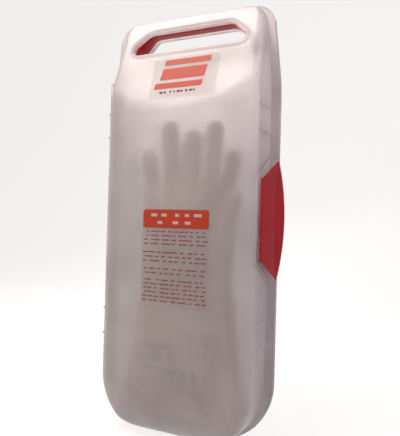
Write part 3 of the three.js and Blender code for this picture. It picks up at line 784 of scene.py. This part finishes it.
def add_glove(name, node, hand, belly, lean):
    """belly fills out the front of the gauntlet, and lean lets the fingers hang back, both in mm."""
    low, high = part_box(node)
    centre_y = (low.y + high.y) / 2 / MM - SEAM_Y
    foot = low.z / MM
    heights = np.array([g[0] for g in GAUNTLET], float)
    levels = np.linspace(heights[0], heights[-1], 44)
    widths = np.interp(levels, heights, [g[1] for g in GAUNTLET])
    depths = np.interp(levels, heights, [g[2] for g in GAUNTLET])
    parts = [ring_tube([((0, z), (1, 0), w, d) for z, w, d in zip(levels, widths, depths)], 64)]
    parts += [ring_tube(finger_sections(*finger)) for finger in FINGERS]
    vertices, faces = [], []
    for part_vertices, part_faces in parts:
        faces += [tuple(i + len(vertices) for i in face) for face in part_faces]
        for x, y, z in part_vertices:
            filled = belly * math.exp(-((z - 75) / 45) ** 2) * min(y / 12, 0)
            back = lean * min(max((z - 150) / 90, 0), 1)
            vertices.append((hand * x, centre_y + y + filled + back, foot + z))
    glove = new_solid(name, vertices, faces)
    remake_in(glove, LATEX)
    remesh = glove.modifiers.new("one skin", "REMESH")
    remesh.mode, remesh.voxel_size = "VOXEL", 2.2 * MM
    relax = glove.modifiers.new("relax", "SMOOTH")
    relax.factor, relax.iterations = 0.5, 8
    make_plain(glove)

    # The cuff is open: the end cap goes, the skin is thickened inwards and its edge is rolled
    build = bmesh.new()
    build.from_mesh(glove.data)
    cut = (foot + 1.5) * MM
    everything = build.verts[:] + build.edges[:] + build.faces[:]
    bmesh.ops.bisect_plane(build, geom=everything, plane_co=(0, 0, cut), plane_no=(0, 0, -1),
                           clear_outer=True)
    bmesh.ops.recalc_face_normals(build, faces=build.faces)
    if sum(f.normal.y * (f.calc_center_median().y - place(0, centre_y, 0).y) for f in build.faces) < 0:
        bmesh.ops.reverse_faces(build, faces=build.faces)
    # Hanging folds in the gauntlet and creases at the wrist
    for vertex in build.verts:
        x, z = vertex.co.x / MM - CASE_X, vertex.co.z / MM - foot
        fold = math.sin(x / 9.0 + hand) * math.exp(-((z - 55) / 45) ** 2) * 0.7
        crease = math.sin(z / 3.2 + x / 30) * math.exp(-((z - 128) / 16) ** 2) * 0.35
        knuckle = math.sin(z / 4.0) * math.exp(-((z - 262) / 14) ** 2) * 0.25
        vertex.co -= vertex.normal * abs(fold + crease + knuckle) * MM
    build.to_mesh(glove.data)
    build.free()
    skin = glove.modifiers.new("skin", "SOLIDIFY")
    skin.thickness, skin.offset = 1.4 * MM, -1.0
    make_plain(glove)
    glove.data.shade_smooth()

    bead_radius, steps, sides = 1.3, 120, 10
    vertices, faces = [], []
    wide, thick = 75.2, 13.9
    for i in range(steps):
        turn = 2 * math.pi * i / steps
        for j in range(sides):
            roll = 2 * math.pi * j / sides
            out = bead_radius * math.cos(roll)
            vertices.append(((wide + out) * math.cos(turn), centre_y + (thick + out) * math.sin(turn),
                             foot + 1.9 + bead_radius * math.sin(roll)))
    for i in range(steps):
        for j in range(sides):
            a, b = i * sides, ((i + 1) % steps) * sides
            k = (j + 1) % sides
            faces.append((a + j, b + j, b + k, a + k))
    bead = new_solid(name + "_bead", vertices, faces)
    remake_in(bead, LATEX)
    bead.data.shade_smooth()
    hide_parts(node)
    for piece in (glove, bead):
        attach(piece, "root")
    return glove


front_glove = add_glove("front_gauntlet", "glove_front", 1, 9.5, 4.5)
add_glove("rear_gauntlet", "glove_rear", -1, 0.0, 1.0)

# ---- Labels on the cover -----------------------------------------------------------------------
# Two clear polyester stickers, screen printed on their face and smoothed onto the cover: a badge
# of plain orange bars on the slope, and a notice with a banner over rows of small print.
def clear_film():
    """Polyester sticker: a thin glossy skin that shows mostly at its edge and in its shine."""
    material, tree = new_material("clear_polyester_film")
    where = add_node(tree, "ShaderNodeTexCoord").outputs["Object"]
    # Slow waves left by smoothing it on, about 15 mm apart
    wave = add_node(tree, "ShaderNodeTexNoise", {"Vector": where, "Scale": 1 / 0.015, "Detail": 1.0})
    skin = add_node(tree, "ShaderNodeBump", {"Height": wave.outputs["Fac"], "Strength": 0.15,
                    "Distance": 0.0002})
    gloss = add_node(tree, "ShaderNodeMapRange", {"Value": wave.outputs["Fac"], "To Min": 0.16,
                     "To Max": 0.26})
    body = add_node(tree, "ShaderNodeBsdfPrincipled", {
        "Base Color": linear("#e3d6d0"), "Roughness": gloss.outputs["Result"], "IOR": 1.58,
        "Alpha": 0.22, "Normal": skin.outputs["Normal"]})
    add_node(tree, "ShaderNodeOutputMaterial", {"Surface": body.outputs[0]})
    return material


def printing_ink(name, dark, light):
    """Screen printed ink: an even colour with the faint mottle of the screen."""
    material, tree = new_material(name)
    where = add_node(tree, "ShaderNodeTexCoord").outputs["Object"]
    # The screen's mesh is about 0.1 mm, drawn at 0.7 mm so that it shows at all
    mottle = add_node(tree, "ShaderNodeTexNoise", {"Vector": where, "Scale": 1 / 0.0007, "Detail": 2.0})
    tint = two_tone(tree, mottle, dark, light)
    dull = add_node(tree, "ShaderNodeMapRange", {"Value": mottle.outputs["Fac"], "To Min": 0.4,
                    "To Max": 0.6})
    body = add_node(tree, "ShaderNodeBsdfPrincipled", {
        "Base Color": tint, "Roughness": dull.outputs["Result"], "IOR": 1.5})
    add_node(tree, "ShaderNodeOutputMaterial", {"Surface": body.outputs[0]})
    return material


def rounded_rows(middle_x, middle_z, width, height, corner, lean=0.0):
    """Rows of a rounded rectangle, as height, left and right; lean slides its top along."""
    turns = np.radians(np.linspace(0, 90, 6))
    ends = corner * (1 - np.sin(turns))
    low = np.concatenate([ends[::-1], [height / 2]])
    rises = np.unique(np.concatenate([low, height - low]).round(4))
    rows = []
    for rise in rises:
        into = max(corner - min(rise, height - rise), 0)
        half = width / 2 - corner + math.sqrt(max(corner ** 2 - into ** 2, 0))
        shift = lean * (rise - height / 2)
        rows.append((middle_z - height / 2 + rise, middle_x + shift - half, middle_x + shift + half))
    return rows


# Depth well in front of the case, from which print is dropped onto it
IN_FRONT = -150


def lay_on(surface, rows, lift, thickness, columns):
    """Vertices and faces of a thin plate laid on a surface that is seen from the front."""
    layers = []
    for off in (lift + thickness, lift):
        for z, left, right in rows:
            for column in range(columns + 1):
                spot = place(left + (right - left) * column / columns, IN_FRONT, z)
                hit = surface.ray_cast(spot, Vector((0, 1, 0)))[0]
                layers.append((hit.x, hit.y - off * MM, hit.z))
    across = columns + 1
    under = len(rows) * across
    faces = []
    for row in range(len(rows) - 1):
        for column in range(columns):
            a = row * across + column
            faces.append((a, a + 1, a + across + 1, a + across))
            faces.append((a + under, a + across + under, a + across + 1 + under, a + 1 + under))
    rim = list(range(across))
    rim += [row * across + columns for row in range(1, len(rows))]
    rim += [(len(rows) - 1) * across + column for column in range(columns - 1, -1, -1)]
    rim += [row * across for row in range(len(rows) - 2, 0, -1)]
    faces += [(a, a + under, b + under, b) for a, b in zip(rim, rim[1:] + rim[:1])]
    return layers, faces


def printed_piece(name, surface, shapes, lift, thickness, material, body):
    """One piece made of plates laid on a surface."""
    vertices, faces = [], []
    for rows, columns in shapes:
        plate, plate_faces = lay_on(surface, rows, lift, thickness, columns)
        faces += [tuple(i + len(vertices) for i in face) for face in plate_faces]
        vertices += plate
    piece = new_piece(name, vertices, faces, material)
    build = bmesh.new()
    build.from_mesh(piece.data)
    bmesh.ops.recalc_face_normals(build, faces=build.faces)
    build.to_mesh(piece.data)
    build.free()
    piece.data.shade_smooth()
    piece.data.set_sharp_from_angle(angle=math.radians(40))
    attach(piece, body)
    return piece


def small_print_tree():
    """Geometry Nodes for rows of small print: word-long dashes dropped onto the surface behind."""
    tree = bpy.data.node_groups.new("small_print", "GeometryNodeTree")
    face = tree.interface
    face.new_socket("Geometry", in_out="OUTPUT", socket_type="NodeSocketGeometry")
    for label, kind in (("Lines", "Int"), ("Words", "Int"), ("Seed", "Int"), ("Width", "Float"),
                        ("Height", "Float"), ("Letter", "Float"), ("Lift", "Float"),
                        ("Middle", "Vector"), ("Surface", "Object"), ("Material", "Material")):
        face.new_socket(label, in_out="INPUT", socket_type="NodeSocket" + kind)
    given = add_node(tree, "NodeGroupInput").outputs
    grid = add_node(tree, "GeometryNodeMeshGrid", {"Size X": given["Width"], "Size Y": given["Height"],
                    "Vertices X": given["Words"], "Vertices Y": given["Lines"]}).outputs["Mesh"]
    position = add_node(tree, "GeometryNodeInputPosition").outputs[0]
    flat = add_node(tree, "ShaderNodeSeparateXYZ", {0: position})
    raised = add_node(tree, "ShaderNodeCombineXYZ", {"X": flat.outputs["X"], "Z": flat.outputs["Y"]})
    spot = add_node(tree, "ShaderNodeVectorMath", {0: raised.outputs[0], 1: given["Middle"]},
                    operation="ADD")
    upright = add_node(tree, "GeometryNodeSetPosition", {"Geometry": grid, "Position": spot.outputs[0]})
    behind = add_node(tree, "GeometryNodeObjectInfo", {"Object": given["Surface"]})
    cast = add_node(tree, "GeometryNodeRaycast", {"Target Geometry": behind.outputs["Geometry"],
                    "Ray Direction": (0.0, 1.0, 0.0), "Ray Length": 1.0})
    proud = add_node(tree, "ShaderNodeCombineXYZ", {"Y": given["Lift"]})
    landed = add_node(tree, "ShaderNodeVectorMath", {0: cast.outputs["Hit Position"], 1: proud.outputs[0]},
                      operation="SUBTRACT")
    pitch = add_node(tree, "ShaderNodeMath", {0: given["Width"], 1: given["Words"]}, operation="DIVIDE")
    uneven = add_node(tree, "FunctionNodeRandomValue", {0: (-0.3, 0.0, 0.0), 1: (0.3, 0.0, 0.0),
                      "Seed": given["Seed"]}, data_type="FLOAT_VECTOR")
    nudge = add_node(tree, "ShaderNodeVectorMath", {0: uneven.outputs[0], "Scale": pitch.outputs[0]},
                     operation="SCALE")
    laid = add_node(tree, "GeometryNodeSetPosition", {"Geometry": upright.outputs[0],
                    "Position": landed.outputs[0], "Offset": nudge.outputs[0]})
    # Random Value has a pair of sockets for each data type: 0 and 1 are vectors, 2 and 3 are floats
    share = add_node(tree, "FunctionNodeRandomValue", {2: 0.45, 3: 1.0, "Seed": given["Seed"]},
                     data_type="FLOAT")
    long = add_node(tree, "ShaderNodeMath", {0: pitch.outputs[0], 1: share.outputs[1]},
                    operation="MULTIPLY")
    dash = add_node(tree, "GeometryNodeMeshCube", {"Size": (1.0, 0.00004, 1.0)}).outputs["Mesh"]
    scale = add_node(tree, "ShaderNodeCombineXYZ", {"X": long.outputs[0], "Y": 1.0, "Z": given["Letter"]})
    words = add_node(tree, "GeometryNodeInstanceOnPoints", {"Points": laid.outputs[0], "Instance": dash,
                     "Scale": scale.outputs[0]})
    real = add_node(tree, "GeometryNodeRealizeInstances", {0: words.outputs[0]})
    inked = add_node(tree, "GeometryNodeSetMaterial", {"Geometry": real.outputs[0],
                     "Material": given["Material"]})
    add_node(tree, "NodeGroupOutput", {"Geometry": inked.outputs[0]})
    return tree


SMALL_PRINT = small_print_tree()


def add_small_print(name, surface, blocks, letter, lift, material, body):
    """Blocks of small print, each as middle x, middle z, width, height, lines and words."""
    pieces = []
    for number, (x, z, width, height, lines, words) in enumerate(blocks):
        pieces.append(grow_row(name, SMALL_PRINT, Lines=lines, Words=words, Seed=number + 7,
                      Width=width * MM, Height=height * MM, Letter=letter * MM, Lift=lift * MM,
                      Middle=place(x, IN_FRONT, z), Surface=surface, Material=material))
    if len(pieces) > 1:
        with bpy.context.temp_override(active_object=pieces[0], selected_editable_objects=pieces):
            bpy.ops.object.join()
    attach(pieces[0], body)
    return pieces[0]


FILM = clear_film()
LABEL_X, BADGE_Z, NOTICE_Z = 4, 400, 202


def add_labels():
    cover = bpy.data.objects["front_cover"]
    surface = BVHTree.FromObject(cover, bpy.context.evaluated_depsgraph_get())
    orange = printing_ink("orange_screen_ink", "#cf3d1c", "#e04b24")
    dark_red = printing_ink("dark_red_screen_ink", "#9a3d36", "#ad4a41")
    pale = printing_ink("pale_screen_ink", "#f2cfc0", "#fae0d4")

    badge = rounded_rows(LABEL_X, BADGE_Z, 79, 51, 3)
    film = printed_piece("badge_film", surface, [(badge, 24)], 0.05, 0.12, FILM, "cover")
    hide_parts("front_badge")
    lean = 0.16
    bars = [(2, BADGE_Z + 19, 56, 7), (-1, BADGE_Z + 4.5, 54, 14), (-5, BADGE_Z - 10, 58, 7)]
    shapes = [(rounded_rows(LABEL_X + x, z, width, height, 0.8, lean), 16) for x, z, width, height in bars]
    printed_piece("badge_bars", surface, shapes, 0.2, 0.05, orange, "cover")
    add_small_print("badge_small_print", cover, [(LABEL_X - 4, BADGE_Z - 18.5, 40, 0, 1, 9)], 3.0, 0.2,
                    dark_red, "cover")

    notice = rounded_rows(LABEL_X, NOTICE_Z, 79, 102, 4)
    film = printed_piece("notice_film", surface, [(notice, 24)], 0.05, 0.12, FILM, "cover")
    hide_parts("instruction_label")
    banner = rounded_rows(LABEL_X, NOTICE_Z + 40.5, 78, 20, 3)
    printed_piece("notice_banner", surface, [(banner, 24)], 0.2, 0.05, orange, "cover")
    add_small_print("banner_print", cover, [(LABEL_X, NOTICE_Z + 44.5, 48, 0, 1, 5),
                    (LABEL_X, NOTICE_Z + 36.5, 30, 0, 1, 3)], 3.2, 0.3, pale, "cover")
    add_small_print("notice_small_print", cover, [
        (LABEL_X, NOTICE_Z + 20, 68, 13.5, 4, 11), (LABEL_X, NOTICE_Z - 0.5, 68, 9.5, 3, 10),
        (LABEL_X, NOTICE_Z - 16, 66, 4.8, 2, 9), (LABEL_X, NOTICE_Z - 37, 68, 22.5, 6, 11)],
        1.25, 0.2, dark_red, "cover")


add_labels()


# ---- Print on the front glove ------------------------------------------------------------------
# A stamp of grey-green ink on the gauntlet: a ruled box for dates, two plain squares and a few
# short lines.
def frame_bars(x, z, width, height, line, dividers=0):
    """The bars of a ruled frame, each as middle x, middle z, width and height."""
    bars = [(x, z + s * height / 2, width + line, line) for s in (-1, 1)]
    for part in range(dividers + 2):
        bars.append((x - width / 2 + width * part / (dividers + 1), z, line, height - line - 0.1))
    return bars


def add_glove_print():
    surface = BVHTree.FromObject(front_glove, bpy.context.evaluated_depsgraph_get())
    stamp = printing_ink("grey_green_stamp_ink", "#26302b", "#3c4840")
    bars = frame_bars(-6, 68, 66, 20, 1.6, 4)
    bars += frame_bars(-28, 96, 15, 15, 1.6) + frame_bars(-9, 96, 15, 15, 1.6)
    shapes = [(rounded_rows(x, z, width, height, 0.2), 10) for x, z, width, height in bars]
    printed_piece("gauntlet_stamp", surface, shapes, 0.1, 0.05, stamp, "root")
    add_small_print("gauntlet_small_print", front_glove, [
        (22, 122, 20, 8, 2, 3), (26, 102, 24, 14, 3, 4)], 2.6, 0.15, stamp, "root")


add_glove_print()
